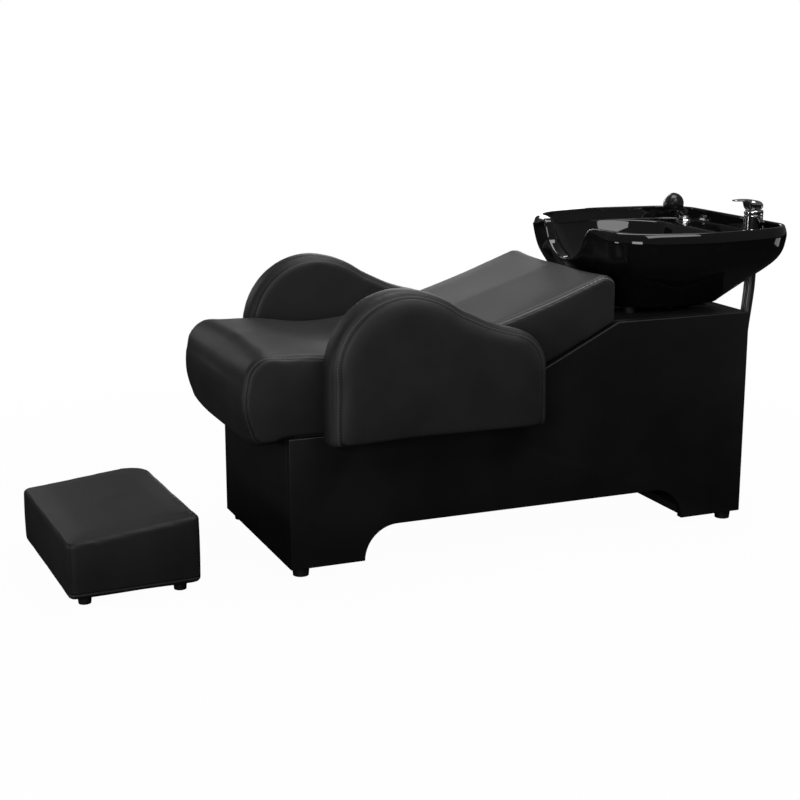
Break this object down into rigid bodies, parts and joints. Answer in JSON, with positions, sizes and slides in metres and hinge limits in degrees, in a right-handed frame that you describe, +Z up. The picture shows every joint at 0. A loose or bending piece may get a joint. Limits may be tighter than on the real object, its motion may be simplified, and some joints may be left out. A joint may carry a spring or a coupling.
{
  "type": "salon shampoo bed",
  "caption": "Black upholstered salon backwash bed on a box base, with a tilting ceramic neck basin, lever tap, hand spray and a loose padded footstool.",
  "frame": {"origin": "on the floor, under the middle of the footprint of bed and footstool", "axes": "+X along the bed from the foot end to the head end, -Y the near side, +Z up"},
  "size_m": [1.7218, 0.65, 0.7438],
  "materials": {
    "veneer": "black melamine faced board, satin",
    "board": "raw board",
    "leather": "black synthetic leather, fine grain",
    "ceramic": "black glazed ceramic, high gloss",
    "steel": "black painted steel",
    "zinc": "zinc plated",
    "chrome": "polished chrome",
    "brass": "plain brass",
    "plastic": "black moulded plastic",
    "gloss": "black glossy plastic",
    "rubber": "black rubber"
  },
  "bodies": {
    "base": {"base_side_near": "veneer", "base_side_far": "veneer", "base_front_panel": "veneer", "base_rear_panel": "veneer", "seat_deck": "board", "back_deck": "board", "basin_deck": "veneer", "base_floor_front": "board", "base_floor_rear": "board", "base_feet": "plastic", "base_foot_screws": "zinc", "seat_cushion": "leather", "seat_board": "board", "back_cushion": "leather", "back_board": "board", "armrest_near_pad": "leather", "armrest_near_board": "board", "armrest_far_pad": "leather", "armrest_far_board": "board", "armrest_bars": "steel", "armrest_screws": "zinc", "basin_rail": "board", "tilt_bracket": "steel", "bracket_bolts": "zinc", "pivot_pin": "zinc", "pivot_nut": "zinc", "tilt_stops": "rubber", "waste_hose": "rubber", "waste_outlet": "plastic", "supply_hose_hot": "rubber", "supply_hose_cold": "rubber", "hose_grommet": "rubber", "supply_unions": "brass"},
    "basin": {"basin_bowl": "ceramic", "basin_plate": "steel", "plate_bolts": "zinc", "pivot_bushes": "plastic", "drain_flange": "chrome", "drain_nut": "plastic", "drain_tail": "plastic", "tap_body": "chrome", "tap_nut": "brass", "tap_cartridge": "plastic", "spray_holder": "chrome", "holder_nut": "plastic", "hose_ferrules": "chrome", "spray_hose_loop": "rubber"},
    "tap_turner": {"tap_cap": "chrome", "lever_pin": "zinc"},
    "tap_handle": {"tap_lever": "chrome"},
    "spray": {"spray_head": "gloss", "spray_face": "plastic", "spray_ferrule": "chrome", "spray_hose_drop": "rubber"},
    "strainer": {"drain_strainer": "chrome"},
    "footstool": {"stool_pad": "leather", "stool_frame": "board", "stool_floor": "board", "stool_feet": "plastic", "stool_foot_screws": "zinc"}
  },
  "joints": [
    {"name": "basin_tilt", "type": "hinge", "parent": "base", "child": "basin", "pos_m": [0.64887, 0, 0.468], "axis": [0, 1, 0], "range_deg": [0, 9], "deforming": ["supply_hose_hot", "supply_hose_cold", "waste_hose"]},
    {"name": "tap_swivel", "type": "hinge", "parent": "basin", "child": "tap_turner", "pos_m": [0.81787, -0.125, 0.712], "axis": [0, 0, 1], "range_deg": [-45, 45]},
    {"name": "tap_lift", "type": "hinge", "parent": "tap_turner", "child": "tap_handle", "pos_m": [0.82787, -0.125, 0.7283], "axis": [0, 1, 0], "range_deg": [0, 22]},
    {"name": "spray_lift", "type": "slide", "parent": "basin", "child": "spray", "axis": [0, 0, 1], "range_m": [0, 0.15], "deforming": ["spray_hose_loop"]},
    {"name": "strainer_lift", "type": "slide", "parent": "basin", "child": "strainer", "axis": [0, 0, 1], "range_m": [0, 0.08]},
    {"name": "stool_slide", "type": "slide", "parent": "base", "child": "footstool", "axis": [1, 0, 0], "range_m": [-0.2, 0.1]}
  ]
}
